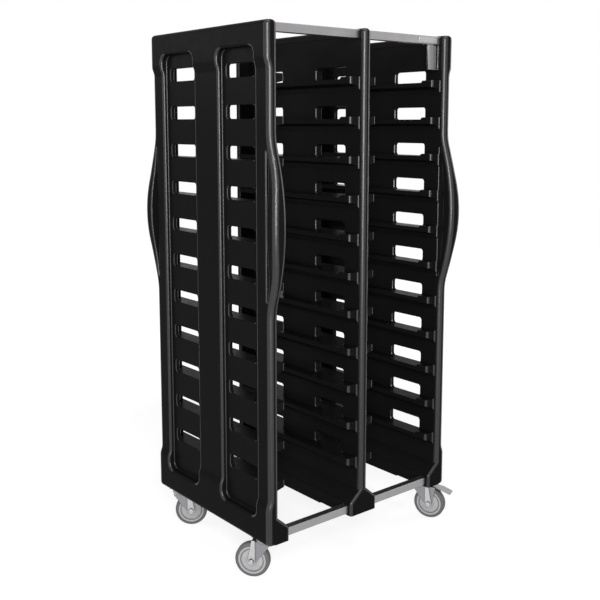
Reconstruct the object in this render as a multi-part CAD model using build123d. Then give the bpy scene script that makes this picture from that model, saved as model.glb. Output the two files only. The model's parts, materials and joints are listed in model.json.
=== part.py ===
from build123d import *
import math
import os

# Driving sizes, in millimetres and degrees.
# X runs across the trolley, Y from its front to its back, and Z up from the floor.

# Tray levels, counted from the seat that the castors carry
level_count = 11
level_pitch = 138.0
first_level = 206.0
head_room = 174.0
bay_width = 378.0

# Moulded panels
panel_depth = 720.0
rim_thickness = 38.0
rim_width = 24.0
field_recess = 4.0
field_head = 26.0
field_corner = 20.0
edge_radius = 17.0
corner_radius = 14.0

# Bands that stand proud at the top and bottom of the side panels' outer faces
band_proud = 9.0
top_band = 115.0
bottom_band = 125.0
band_blend = 40.0

# Handles bowed out of the side panels' front and rear edges
bow_depth = 50.0
bow_length = 620.0
bow_drop = 355.0
bow_end_radius = 200.0
grip_proud = 16.0
grip_end_gap = 17.0
slot_end_gap = 62.0
slot_width = 23.0
slot_end_width = 4.0
slot_inset = 18.0
slot_corner = 1.8
slot_edge_radius = 5.0

# Pockets in the outer faces, and the windows in their floors
column_span = 360.0
pocket_width = 208.0
pocket_depth = 17.0
pocket_head = 78.0
pocket_base = 84.0
pocket_corner = 28.0
pocket_floor_radius = 4.0
pocket_rim_radius = 9.0
window_length = 160.0
window_height = 46.0
window_corner = 11.0
window_edge_bevel = 2.5

# Ledges that carry the trays, each with a stop at its front end
ledge_width = 48.0
ledge_nose = 16.0
ledge_root = 45.0
ledge_knee = 12.0
ledge_knee_drop = 24.0
ledge_inset = 22.0
ledge_corner = 10.0
ledge_flare = 6.0
nose_radius = 4.0
stop_height = 8.0
stop_length = 56.0
stop_slope = 10.0

# Upright ribs behind the ledges that stop the trays at the back
rear_stop_reach = 46.0
rear_stop_width = 20.0
rear_stop_inset = 21.0
rear_stop_head = 60.0
rear_stop_radius = 5.0

# Plinth along the foot of each panel
plinth_reach = 45.0
plinth_side = 50.0
plinth_top = 92.0
plinth_radius = 14.0
plinth_end_radius = 10.0
seat_length = 175.0

# Square tube rails, seated in the side panels and passed through the middle one
rail_size = 30.0
rail_wall = 2.0
rail_corner = 3.0
top_rail_inset = 25.0
bottom_rail_inset = 16.0
rail_base = 8.0
rail_head = 5.0
rail_seat = 28.0
rail_clearance = 0.25

# Rail screws: pan heads driven upwards through the plinths, countersunk heads driven down from the top
screw_diameter = 6.0
screw_length = 22.0
screw_head_diameter = 11.0
screw_head_height = 3.5
screw_sink = 2.5
screw_clearance = 0.25
sink_clearance = 0.05
plinth_screw_out = 12.0
top_screw_in = 20.0

# Plates on the top front rail
label_length = 97.0
label_height = 20.0
label_thickness = 1.2
label_gap = 19.0
card_width = 62.0
card_height = 88.0
card_drop = 3.0
card_depth = 8.0
card_lip = 10.0
card_sheet = 1.5
card_gap = 1.0
card_tab = 34.0
card_flange = 20.0

# Castors
castor_height = 152.0
castor_inset = 85.0
castor_trail = 42.0
plate_length = 77.0
plate_width = 67.0
plate_thickness = 4.0
plate_corner = 8.0
bolt_span_length = 61.5
bolt_span_width = 51.5
bolt_diameter = 8.0
bolt_clearance = 0.3
bolt_grip = 26.0
bolt_head_across = 13.0
bolt_head_height = 5.3

# Swivel head, from the plate down to the fork's crown
ball_diameter = 7.0
ball_count = 16
ball_circle = 44.0
ball_clearance = 0.15
race_diameter = 64.0
race_skirt = 2.0
race_depth = 7.0
head_gap = 1.4
crown_thickness = 6.5
crown_clearance = 0.6
pin_diameter = 12.0
pin_head_diameter = 20.0
pin_head_height = 3.0
pin_clearance = 0.05
pin_end_gap = 0.3

# Forks
fork_inside = 38.0
fork_sheet = 3.0
fork_bend = 6.0
fork_back = 26.0
fork_front = 42.0
fork_eye = 14.0

# Wheels
wheel_diameter = 125.0
wheel_width = 32.0
tread_thickness = 12.0
tread_shoulder_radius = 8.0
hub_rim_width = 30.0
hub_rim_thickness = 8.0
hub_web = 20.0
hub_boss = 36.0
hub_gap = 0.3
hub_radius = 2.2
bush_diameter = 15.0
bush_clearance = 0.05
axle_diameter = 10.0
axle_clearance = 0.1
axle_hex = 16.0
axle_head_height = 6.4
axle_nut_height = 8.0
axle_tail = 3.0

# Brakes
brake_pivot_out = 62.0
brake_pivot_height = 130.0
brake_pin = 6.0
brake_pin_clearance = 0.05
brake_ear = 6.5
pedal_travel = 12.0
pedal_barrel = 12.0
pedal_sheet = 3.0
pedal_gap = 1.0
pedal_width = 46.0
pedal_knee_out = 94.0
pedal_knee_height = 127.0
pedal_tip_out = 131.0
pedal_tip_height = 114.0
pedal_tip_corner = 8.0
pedal_bend = 20.0
shoe_near = 70.0
shoe_far = 88.0
shoe_width = 24.0
shoe_clearance = 0.4

# Where each castor points at rest: the way its wheel trails, turned from +X, and whether it has a brake
castor_turn = {"front_left": 128.0, "rear_left": -38.0, "front_right": -64.0, "rear_right": 62.0}
braked_castors = ("front_right", "rear_right")

# How close two values count as the same, how near an edge's middle must be, how much of an edge may run
# across a panel, and how far cutters reach past what they cut
same_value = 1e-6
same_place = 0.01
across_share = 0.9
cut_margin = 1.0

# Sizes worked out from the driving ones
panel_height = first_level + (level_count - 1) * level_pitch + head_room
levels = [first_level + level_pitch * index for index in range(level_count)]
rim_plane = rim_thickness / 2 + bay_width
outer_plane = rim_thickness + max(band_proud, grip_proud)
bow_top = panel_height - bow_drop
bow_bottom = bow_top - bow_length
bow_middle = (bow_top + bow_bottom) / 2
slot_length = bow_length - 2 * slot_end_gap
grip_rise = slot_length / 2 - grip_end_gap
column_places = (-column_span / 2, column_span / 2)
front_edge = -panel_depth / 2
rail_length = 2 * (rim_plane + rail_seat - rail_clearance)
top_rail_y = panel_depth / 2 - top_rail_inset - rail_size / 2
bottom_rail_y = panel_depth / 2 - bottom_rail_inset - rail_size / 2
low_rail_z = rail_base + rail_size / 2
high_rail_z = panel_height - rail_head - rail_size / 2
seat_z = castor_height
castor_x = rim_plane + (rim_thickness + band_proud - plinth_reach) / 2
castor_y = panel_depth / 2 - castor_inset
plate_bottom = castor_height - plate_thickness
race_bottom = plate_bottom - race_depth
crown_top = race_bottom - head_gap
crown_bottom = crown_top - crown_thickness
ball_z = race_bottom - head_gap / 2
axle_z = wheel_diameter / 2
fork_outside = fork_inside + 2 * fork_sheet
hub_diameter = wheel_diameter - 2 * tread_thickness


def blend_arcs(start, end):
    """Two equal arcs between two points, upright at both ends."""
    middle = ((start[0] + end[0]) / 2, (start[1] + end[1]) / 2)
    rise = math.copysign(1, end[1] - start[1])
    return [
        TangentArc(start, middle, tangent=(0, rise)),
        TangentArc(end, middle, tangent=(0, -rise)),
    ]


def bow_arcs():
    """The handle's bow along the front edge: a shallow start, a long crest and the same end."""
    turn = 2 * math.atan(2 * bow_depth / bow_length)
    reach = bow_end_radius * (1 - math.cos(turn))
    rise = bow_end_radius * math.sin(turn)
    low = (front_edge - reach, bow_bottom + rise)
    high = (front_edge - reach, bow_top - rise)
    return [
        TangentArc((front_edge, bow_bottom), low, tangent=(0, 1)),
        ThreePointArc(low, (front_edge - bow_depth, bow_middle), high),
        TangentArc((front_edge, bow_top), high, tangent=(0, -1)),
    ]


def panel_outline(bowed):
    """A panel seen from the side, with a handle's bow at the front and rear where it has them."""
    base = -plate_thickness
    if bowed:
        front = [
            Line((front_edge, base), (front_edge, bow_bottom)),
            *bow_arcs(),
            Line((front_edge, bow_top), (front_edge, panel_height)),
        ]
    else:
        front = [Line((front_edge, base), (front_edge, panel_height))]
    rear = [mirror(edge, about=Plane.YZ) for edge in front]
    ends = [Line((front_edge, z), (-front_edge, z)) for z in (base, panel_height)]
    face = make_face(front + rear + ends)
    rows = face.vertices().group_by(Axis.Y)
    return Plane.YZ * fillet(rows[0] + rows[-1], corner_radius)


def outer_face_cut(with_grip):
    """What is cut off the outside of a side panel's blank, as a section in X and Z."""
    main = rim_thickness
    proud = rim_thickness + band_proud
    away = outer_plane + band_blend
    low = bottom_band
    high = panel_height - top_band
    past_base = -plate_thickness - band_blend
    past_top = panel_height + band_blend
    if with_grip:
        grip = rim_thickness + grip_proud
        grip_low = (main, bow_middle - grip_rise)
        grip_high = (main, bow_middle + grip_rise)
        main_face = [
            Line((main, low + band_blend), grip_low),
            *blend_arcs(grip_low, (grip, bow_middle)),
            *blend_arcs((grip, bow_middle), grip_high),
            Line(grip_high, (main, high - band_blend)),
        ]
    else:
        main_face = [Line((main, low + band_blend), (main, high - band_blend))]
    return make_face(
        [
            Line((away, past_base), (proud, past_base)),
            Line((proud, past_base), (proud, low)),
            *blend_arcs((proud, low), (main, low + band_blend)),
            *main_face,
            *blend_arcs((main, high - band_blend), (proud, high)),
            Line((proud, high), (proud, past_top)),
            Line((proud, past_top), (away, past_top)),
            Line((away, past_top), (away, past_base)),
        ]
    )


def handle_slot():
    """The hand hole behind the front handle: straight at the back and bowed at the front."""
    rear = front_edge + slot_inset
    low = bow_middle - slot_length / 2
    high = bow_middle + slot_length / 2
    face = make_face(
        [
            Line((rear, low), (rear, high)),
            Line((rear, high), (rear - slot_end_width, high)),
            ThreePointArc(
                (rear - slot_end_width, high), (rear - slot_width, bow_middle), (rear - slot_end_width, low)
            ),
            Line((rear - slot_end_width, low), (rear, low)),
        ]
    )
    return extrude(Plane.YZ * fillet(face.vertices(), slot_corner), amount=2 * outer_plane, both=True)


def rim_edges(panel):
    """The edges where a panel's narrow sides meet its two faces."""
    return ShapeList(
        edge
        for face in panel.faces()
        if abs(face.normal_at().X) < same_value
        for edge in face.edges()
        if abs(edge.tangent_at(0.5).X) < across_share
    )


def near_any(edge, places):
    """Whether an edge's middle is at one of the places."""
    return any((edge.center() - place).length < same_place for place in places)


def side_blank():
    """A side panel before its pockets and ledges: bands, handles and rounded edges. Its bay is at -X."""
    blank = extrude(panel_outline(True), amount=outer_plane)
    strip = slot_inset - slot_end_width / 2
    seam = panel_depth / 2 - strip
    middle_cut = extrude(Plane.XZ * outer_face_cut(False), amount=seam, both=True)
    past_bow = strip + bow_depth + cut_margin
    strip_cut = Pos(0, -seam, 0) * extrude(Plane.XZ * outer_face_cut(True), amount=past_bow)
    blank -= [middle_cut, strip_cut, mirror(strip_cut, about=Plane.XZ)]
    slot = handle_slot()
    slots = [slot, mirror(slot, about=Plane.XZ)]
    opened = blank - slots
    slot_places = [edge.center() for edge in new_edges(blank, *slots, combined=opened)]
    outer_edges = ShapeList(edge for edge in rim_edges(opened) if not near_any(edge, slot_places))
    rounded = fillet(outer_edges, edge_radius)
    slot_edges = ShapeList(edge for edge in rounded.edges() if near_any(edge, slot_places))
    return fillet(slot_edges, slot_edge_radius)


def outer_pockets():
    """The two upright pockets sunk in a side panel's outer face."""
    height = panel_height - pocket_head - pocket_base
    mouth = RectangleRounded(pocket_width, height, pocket_corner)
    pocket = extrude(Plane.YZ * mouth, amount=pocket_depth + outer_plane)
    pocket = fillet(pocket.faces().sort_by(Axis.X)[0].edges(), pocket_floor_radius)
    floor = rim_thickness - pocket_depth
    middle = pocket_base + height / 2
    return [Pos(floor, y, middle) * pocket for y in column_places]


def inner_field():
    """The shallow field inside the rim, sunk from a face at x = 0 towards -X."""
    width = panel_depth - 2 * rim_width
    top = panel_height - field_head
    sheet = RectangleRounded(width, top - plinth_side, field_corner)
    return Pos(-field_recess, 0, (top + plinth_side) / 2) * extrude(Plane.YZ * sheet, amount=rim_thickness)


def windows():
    """Two columns of windows, one window above each tray level."""
    opening = Plane.YZ * RectangleRounded(window_length, window_height, window_corner)
    cutter = extrude(opening, amount=2 * outer_plane, both=True)
    return [
        Pos(0, y, level + window_height / 2) * cutter
        for level in levels
        for y in column_places
    ]


def with_windows(panel):
    """A panel opened by its windows, their edges bevelled on both faces."""
    cutters = windows()
    opened = panel - cutters
    return chamfer(new_edges(panel, *cutters, combined=opened), window_edge_bevel)


def tray_ledge():
    """A ledge on a field at x = 0, reaching to +X, with its tray's level at z = 0 and a stop in front."""
    anchor = -field_recess
    section = make_face(
        Polyline(
            (anchor, stop_height),
            (ledge_width, stop_height),
            (ledge_width, -ledge_nose),
            (ledge_knee, -ledge_knee_drop),
            (0, -ledge_root),
            (anchor, -ledge_root),
            close=True,
        )
    )
    nose = section.vertices().filter_by(lambda corner: corner.X > ledge_width - same_value)
    section = fillet(nose, nose_radius)
    knee = section.vertices().filter_by(lambda corner: abs(corner.X - ledge_knee) < same_value)
    section = fillet(knee, ledge_corner)
    end = panel_depth / 2 - ledge_inset
    bar = extrude(Plane.XZ * section, amount=end + ledge_flare, both=True)
    flare_reach = field_recess + ledge_flare
    flare = Rectangle(flare_reach, ledge_flare, align=(Align.MIN, Align.MIN))
    flare -= Pos(flare_reach, 0) * Circle(ledge_flare)
    plan = RectangleRounded(2 * ledge_width, 2 * end, ledge_corner) + Pos(0, -end - ledge_flare) * flare
    bar &= extrude(plan, amount=ledge_root + stop_height, both=True)
    seat_start = stop_length - end
    seat = make_face(
        Polyline(
            (seat_start, 0),
            (end + cut_margin, 0),
            (end + cut_margin, stop_height + nose_radius),
            (seat_start - stop_slope, stop_height + nose_radius),
            close=True,
        )
    )
    return bar - extrude(Plane.YZ * seat, amount=2 * ledge_width, both=True)


def rear_stop():
    """The upright rib that stops the trays at the back, on a face at x = 0 and reaching to +X."""
    height = panel_height - rear_stop_head - plinth_side
    rib = Box(
        rear_stop_reach + field_recess,
        rear_stop_width,
        height,
        align=(Align.MIN, Align.MAX, Align.MIN),
    )
    rib = fillet(rib.faces().sort_by(Axis.X)[-1].edges(), rear_stop_radius)
    return Pos(-field_recess, panel_depth / 2 - rear_stop_inset, plinth_side) * rib


def plinth():
    """The thick foot along a panel's whole depth, on a face at x = 0 and reaching to +X."""
    anchor = -rim_thickness / 2
    shoulder = plinth_radius
    section = make_face(
        Polyline(
            (anchor, -plate_thickness),
            (plinth_reach, -plate_thickness),
            (plinth_reach, plinth_side),
            (-field_recess, plinth_top),
            (anchor, plinth_top),
            close=True,
        )
    )
    corner = section.vertices().filter_by(
        lambda point: point.X > plinth_reach - same_value and point.Y > plinth_side - same_value
    )
    section = fillet(corner, shoulder)
    body = extrude(Plane.XZ * section, amount=panel_depth / 2, both=True)
    ends = ShapeList(
        edge
        for face in body.faces().filter_by(Axis.Y)
        for edge in face.edges()
        if edge.center().X > 0 and edge.center().Z > -plate_thickness + same_value
    )
    return fillet(ends, plinth_end_radius)


def bay_features():
    """Everything that a panel turns towards a bay, on a rim face at x = 0 and reaching to +X."""
    ledge = tray_ledge()
    ledges = [Pos(-field_recess, 0, level) * ledge for level in levels]
    return [plinth(), rear_stop(), *ledges]


def rail_places():
    """The middle of each rail as Y and Z, measured from the panels' seat."""
    return {
        "top_front_rail": (-top_rail_y, high_rail_z),
        "top_rear_rail": (top_rail_y, high_rail_z),
        "bottom_front_rail": (-bottom_rail_y, low_rail_z),
        "bottom_rear_rail": (bottom_rail_y, low_rail_z),
    }


def rail_holes(start, end):
    """Holes for the four rails between two X places, with the clearance all round."""
    size = rail_size + 2 * rail_clearance
    opening = RectangleRounded(size, size, rail_corner + rail_clearance)
    cutter = extrude(Plane.YZ * opening, amount=end - start)
    return [Pos(start, y, z) * cutter for y, z in rail_places().values()]


def plinth_screw_places():
    """The point under each pan head, on the plinths' lower faces, measured from the seat."""
    side = rim_plane - plinth_screw_out
    centre = rim_thickness / 2 + plinth_screw_out
    bottom = low_rail_z - rail_size / 2 - rail_base
    return [(x, y, bottom) for x in (-side, -centre, centre, side) for y in (-bottom_rail_y, bottom_rail_y)]


def top_screw_places():
    """The point on the panels' tops at each countersunk head, measured from the seat."""
    side = rim_plane + top_screw_in
    return [(x, y, panel_height) for x in (-side, 0, side) for y in (-top_rail_y, top_rail_y)]


def screw_holes():
    """Clearance holes for all the rail screws, as they stand across the trolley."""
    drill = Cylinder(screw_diameter / 2 + screw_clearance, 2 * screw_length)
    sink = Cone(
        screw_diameter / 2 + sink_clearance,
        screw_head_diameter / 2 + sink_clearance,
        screw_sink,
        align=(Align.CENTER, Align.CENTER, Align.MAX),
    )
    plain = [Pos(*place) * drill for place in plinth_screw_places()]
    sunk = [Pos(*place) * shape for place in top_screw_places() for shape in (drill, sink)]
    return plain + sunk


def castor_seats():
    """Recesses under the panels' ends where the castor plates lie."""
    cutter = Box(
        4 * (rim_thickness + plinth_reach),
        seat_length,
        plate_thickness,
        align=(Align.CENTER, Align.MIN, Align.MAX),
    )
    front = Pos(0, front_edge, 0) * cutter
    return [front, mirror(front, about=Plane.XZ)]


def plate_bolt_places():
    """The four bolts of one castor plate, from the swivel's axis."""
    across = bolt_span_width / 2
    along = bolt_span_length / 2
    return [(x, y) for x in (-across, across) for y in (-along, along)]


def plate_bolt_holes(x_place):
    """Blind holes for the castor bolts in a side panel's foot."""
    drill = Cylinder(
        bolt_diameter / 2 + bolt_clearance,
        bolt_grip + 2 * bolt_clearance,
        align=(Align.CENTER, Align.CENTER, Align.MIN),
    )
    return [
        Pos(x_place + x, side * castor_y + y, 0) * drill
        for side in (-1, 1)
        for x, y in plate_bolt_places()
    ]


def side_panel():
    """The right side panel, with its rim face at x = 0 and its bay at -X."""
    panel = side_blank()
    panel -= mirror(inner_field(), about=Plane.YZ)
    pockets = outer_pockets()
    sunk = panel - pockets
    panel = fillet(new_edges(panel, *pockets, combined=sunk), pocket_rim_radius)
    panel = with_windows(panel)
    panel += [mirror(feature, about=Plane.YZ) for feature in bay_features()]
    panel -= castor_seats()
    panel -= rail_holes(-2 * plinth_reach, rail_seat)
    panel -= [Pos(-rim_plane, 0, 0) * hole for hole in screw_holes()]
    panel -= plate_bolt_holes(castor_x - rim_plane)
    return panel


def centre_panel():
    """The middle panel, with straight edges and a bay on both sides."""
    half = rim_thickness / 2
    panel = Pos(-half, 0, 0) * extrude(panel_outline(False), amount=rim_thickness)
    panel = fillet(rim_edges(panel), edge_radius)
    field = Pos(half, 0, 0) * inner_field()
    panel -= [field, mirror(field, about=Plane.YZ)]
    panel = with_windows(panel)
    features = [Pos(half, 0, 0) * feature for feature in bay_features()]
    panel += features + [mirror(feature, about=Plane.YZ) for feature in features]
    panel -= castor_seats()
    panel -= rail_holes(-half - 2 * plinth_reach, half + 2 * plinth_reach)
    panel -= screw_holes()
    return panel


def rail(y, z):
    """One square tube, drilled for its screws."""
    outside = RectangleRounded(rail_size, rail_size, rail_corner)
    inside = rail_size - 2 * rail_wall
    tube = outside - RectangleRounded(inside, inside, rail_corner - rail_wall / 2)
    bar = Pos(0, y, z) * extrude(Plane.YZ * tube, amount=rail_length / 2, both=True)
    return Pos(0, 0, seat_z) * (bar - screw_holes())


def rail_screws():
    """The screws that hold the rails in the panels."""
    shank = Cylinder(screw_diameter / 2, screw_length, align=(Align.CENTER, Align.CENTER, Align.MIN))
    pan = Cylinder(
        screw_head_diameter / 2, screw_head_height, align=(Align.CENTER, Align.CENTER, Align.MAX)
    )
    pan = fillet(pan.edges().group_by(Axis.Z)[0], screw_head_height / 2)
    cone = Cone(
        screw_diameter / 2,
        screw_head_diameter / 2,
        screw_sink,
        align=(Align.CENTER, Align.CENTER, Align.MAX),
    )
    flat = Pos(0, 0, -screw_length) * shank + cone
    pan_screws = [Pos(x, y, z + seat_z) * (shank + pan) for x, y, z in plinth_screw_places()]
    flat_screws = [Pos(x, y, z + seat_z) * flat for x, y, z in top_screw_places()]
    return pan_screws + flat_screws


def label_plate():
    """A bare plate on the front of the top front rail, beside the right panel."""
    y, z = rail_places()["top_front_rail"]
    right = rim_plane - label_gap
    sheet = RectangleRounded(label_length, label_height, label_thickness)
    plate = extrude(Plane.XZ * sheet, amount=label_thickness)
    return Pos(right - label_length / 2, y - rail_size / 2, z + seat_z) * plate


def card_holder():
    """A bare folded card holder that hangs under the top front rail, close to the right panel."""
    y, z = rail_places()["top_front_rail"]
    rail_bottom = z - rail_size / 2
    top = rail_bottom - card_drop
    inside = Rectangle(card_width - 2 * card_sheet, card_depth - 2 * card_sheet)
    mouth = Pos(0, -card_depth / 2) * Rectangle(card_width - 2 * card_lip, card_depth)
    plan = Rectangle(card_width, card_depth) - inside - mouth
    channel = Pos(0, 0, top) * extrude(plan, amount=-card_height)
    foot = Pos(0, 0, top - card_height) * extrude(Rectangle(card_width, card_depth), amount=-card_sheet)
    rear = card_depth / 2
    left = -card_width / 2
    tab = Pos(left, rear, top) * Box(
        card_tab, card_sheet, rail_bottom - top, align=(Align.MIN, Align.MAX, Align.MIN)
    )
    flange = Pos(left, rear - card_sheet, rail_bottom) * Box(
        card_tab, card_flange, card_sheet, align=(Align.MIN, Align.MIN, Align.MAX)
    )
    across = rim_plane - card_gap - card_width / 2
    return Pos(across, y - rail_size / 2 + card_depth / 2, seat_z) * (channel + foot + tab + flange)


def mounting_plate():
    """A castor's top plate, with the swivel's axis at the origin."""
    sheet = RectangleRounded(plate_width, plate_length, plate_corner)
    holes = [Pos(x, y) * Circle(bolt_diameter / 2 + bolt_clearance) for x, y in plate_bolt_places()]
    centre = Circle(pin_diameter / 2)
    return Pos(0, 0, plate_bottom) * extrude(sheet - holes - centre, amount=plate_thickness)


def castor_bolts():
    """Hex bolts through one castor plate into the panel's foot."""
    hexagon = RegularPolygon(bolt_head_across / 2, 6, major_radius=False)
    head = extrude(hexagon, amount=-bolt_head_height)
    shank = Cylinder(
        bolt_diameter / 2, plate_thickness + bolt_grip, align=(Align.CENTER, Align.CENTER, Align.MIN)
    )
    bolt = head + shank
    return [Pos(x, y, plate_bottom) * bolt for x, y in plate_bolt_places()]


def ball_groove(height):
    """The ring that the swivel's balls run in."""
    ring = Torus(ball_circle / 2, ball_diameter / 2 + ball_clearance)
    return Pos(0, 0, height) * ring


def swivel_race():
    """The upper ball race under the plate, with a skirt round the crown."""
    ring = Cylinder(race_diameter / 2, race_depth, align=(Align.CENTER, Align.CENTER, Align.MIN))
    ring = Pos(0, 0, race_bottom) * ring
    skirt_bottom = crown_top - crown_thickness / 2
    skirt = Pos(0, 0, skirt_bottom) * Cylinder(
        race_diameter / 2, race_bottom - skirt_bottom, align=(Align.CENTER, Align.CENTER, Align.MIN)
    )
    skirt -= Pos(0, 0, skirt_bottom) * Cylinder(
        race_diameter / 2 - race_skirt,
        race_bottom - skirt_bottom,
        align=(Align.CENTER, Align.CENTER, Align.MIN),
    )
    bore = Pos(0, 0, race_bottom) * Cylinder(
        pin_diameter / 2, race_depth, align=(Align.CENTER, Align.CENTER, Align.MIN)
    )
    return ring + skirt - bore - ball_groove(ball_z)


def swivel_balls():
    """The loose balls between the race and the crown."""
    ball = Sphere(ball_diameter / 2)
    return [
        Pos(0, 0, ball_z) * (Rot(0, 0, 360 / ball_count * index) * (Pos(ball_circle / 2, 0, 0) * ball))
        for index in range(ball_count)
    ]


def king_pin():
    """The rivet that the fork turns on, headed under the crown."""
    shank_bottom = crown_bottom - pin_end_gap
    shank = Pos(0, 0, shank_bottom) * Cylinder(
        pin_diameter / 2, castor_height - shank_bottom, align=(Align.CENTER, Align.CENTER, Align.MIN)
    )
    head = Pos(0, 0, shank_bottom) * Cylinder(
        pin_head_diameter / 2, pin_head_height, align=(Align.CENTER, Align.CENTER, Align.MAX)
    )
    head = fillet(head.edges().group_by(Axis.Z)[0], pin_head_height / 2)
    return shank + head


def fork_outline(braked):
    """The side of a fork's legs in X and Z: broad at the crown, round at the axle, eared for a brake."""
    shapes = [
        Pos(castor_trail, axle_z) * Circle(fork_eye),
        Pos((fork_front - fork_back) / 2, crown_top - fork_bend)
        * Rectangle(fork_front + fork_back, 2 * fork_bend),
    ]
    if braked:
        shapes.append(Pos(brake_pivot_out, brake_pivot_height) * Circle(brake_ear))
    edges = [edge for shape in shapes for edge in shape.edges()]
    return make_hull(edges)


def fork(braked):
    """A bent sheet fork with a round crown, its swivel's axis at the origin and its wheel trailing to +X."""
    top = crown_bottom + fork_sheet
    section = make_face(
        Polyline(
            (-fork_outside / 2, 0),
            (-fork_outside / 2, top),
            (fork_outside / 2, top),
            (fork_outside / 2, 0),
            (fork_inside / 2, 0),
            (fork_inside / 2, crown_bottom),
            (-fork_inside / 2, crown_bottom),
            (-fork_inside / 2, 0),
            close=True,
        )
    )
    bends = section.vertices().filter_by(
        lambda corner: corner.Y > top - same_value and abs(corner.X) > fork_inside / 2
    )
    section = fillet(bends, fork_bend)
    long = brake_pivot_out + fork_front + fork_back
    sheet = extrude(Plane.YZ * section, amount=long, both=True)
    sheet &= extrude(Plane.XZ * fork_outline(braked), amount=fork_outside, both=True)
    if braked:
        sheet -= Pos(fork_front, 0, crown_bottom - fork_bend) * Box(
            long, fork_inside, 2 * fork_outside, align=(Align.MIN, Align.CENTER, Align.MIN)
        )
    crown_radius = race_diameter / 2 - race_skirt - crown_clearance
    crown = Pos(0, 0, crown_bottom) * Cylinder(
        crown_radius, crown_thickness, align=(Align.CENTER, Align.CENTER, Align.MIN)
    )
    bore = Cylinder(pin_diameter / 2 + pin_clearance, 4 * castor_height)
    axle_hole = Pos(castor_trail, 0, axle_z) * Rot(90, 0, 0) * Cylinder(
        axle_diameter / 2, 2 * fork_outside
    )
    body = sheet + crown - bore - axle_hole - ball_groove(ball_z)
    if braked:
        body -= Pos(brake_pivot_out, 0, brake_pivot_height) * Rot(90, 0, 0) * Cylinder(
            brake_pin / 2, 2 * fork_outside
        )
    return body


def along_axle(shape):
    """Turns a shape made along Z so that it lies along the axle, at the wheel's centre."""
    return Pos(castor_trail, 0, axle_z) * Rot(90, 0, 0) * shape


def axle_bolt():
    """The axle's hex bolt and its nut, clamped on the fork's legs."""
    hexagon = RegularPolygon(axle_hex / 2, 6, major_radius=False)
    half = fork_outside / 2
    head = Pos(0, 0, half) * extrude(hexagon, amount=axle_head_height)
    shank = Pos(0, 0, half) * Cylinder(
        axle_diameter / 2,
        fork_outside + axle_nut_height + axle_tail,
        align=(Align.CENTER, Align.CENTER, Align.MAX),
    )
    nut = Pos(0, 0, -half) * extrude(hexagon - Circle(axle_diameter / 2), amount=-axle_nut_height)
    return [along_axle(head + shank), along_axle(nut)]


def axle_bush():
    """The plain bush that the wheel turns on, clamped between the fork's legs."""
    ring = Circle(bush_diameter / 2) - Circle(axle_diameter / 2 + axle_clearance)
    return along_axle(extrude(ring, amount=fork_inside / 2, both=True))


def wheel_hub():
    """The wheel's pale core: a boss on the bush, a web and a rim under the tread."""
    boss_half = fork_inside / 2 - hub_gap
    rim_half = hub_rim_width / 2
    web_half = hub_web / 2
    bore = bush_diameter / 2 + bush_clearance
    boss = hub_boss / 2
    rim = hub_diameter / 2
    section = make_face(
        Polyline(
            (bore, -boss_half),
            (boss, -boss_half),
            (boss, -web_half),
            (rim - hub_rim_thickness, -web_half),
            (rim - hub_rim_thickness, -rim_half),
            (rim, -rim_half),
            (rim, rim_half),
            (rim - hub_rim_thickness, rim_half),
            (rim - hub_rim_thickness, web_half),
            (boss, web_half),
            (boss, boss_half),
            (bore, boss_half),
            close=True,
        )
    )
    web_corners = section.vertices().filter_by(lambda corner: abs(abs(corner.Y) - web_half) < same_value)
    section = fillet(web_corners, hub_radius)
    return along_axle(revolve(Plane.XZ * section, axis=Axis.Z))


def wheel_tread():
    """The grey tyre bonded round the hub, with rounded shoulders."""
    section = Pos(wheel_diameter / 2 - tread_thickness / 2, 0) * Rectangle(tread_thickness, wheel_width)
    shoulders = section.vertices().group_by(Axis.X)[-1]
    section = fillet(shoulders, tread_shoulder_radius)
    return along_axle(revolve(Plane.XZ * section, axis=Axis.Z))


def at_brake_pivot(shape):
    """Turns a shape made along Z so that it lies along the brake's pivot."""
    return Pos(brake_pivot_out, 0, brake_pivot_height) * Rot(90, 0, 0) * shape


def brake_pivot_pin():
    """The pin across the fork that the pedal turns on."""
    return at_brake_pivot(Cylinder(brake_pin / 2, fork_outside))


def lever_start():
    """Where the pedal's sheet leaves the top of its barrel."""
    return (brake_pivot_out, brake_pivot_height + (pedal_barrel - pedal_sheet) / 2)


def brake_pedal():
    """A bent foot lever on the pivot pin, over the wheel and dipped at its tip."""
    inner_width = fork_inside - 2 * pedal_gap
    barrel = at_brake_pivot(Cylinder(pedal_barrel / 2, inner_width))
    knee = (pedal_knee_out, pedal_knee_height)
    tip = (pedal_tip_out, pedal_tip_height)
    path = FilletPolyline(lever_start(), knee, tip, radius=pedal_bend)
    lever = extrude(Plane.XZ * trace(path, line_width=pedal_sheet), amount=pedal_width / 2, both=True)
    neck = pedal_knee_out - pedal_width / 2
    past_tip = pedal_tip_out + pedal_width
    outline = make_face(
        Polyline(
            (brake_pivot_out, -inner_width / 2),
            (neck, -inner_width / 2),
            (pedal_knee_out, -pedal_width / 2),
            (past_tip, -pedal_width / 2),
            (past_tip, pedal_width / 2),
            (pedal_knee_out, pedal_width / 2),
            (neck, inner_width / 2),
            (brake_pivot_out, inner_width / 2),
            close=True,
        )
    )
    lever &= extrude(outline, amount=castor_height)
    end_face = lever.faces().sort_by(Axis.X)[-1]
    lever = fillet(end_face.edges().filter_by(Axis.Y, reverse=True), pedal_tip_corner)
    bore = at_brake_pivot(Cylinder(brake_pin / 2 + brake_pin_clearance, fork_outside))
    return barrel + lever - bore


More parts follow.
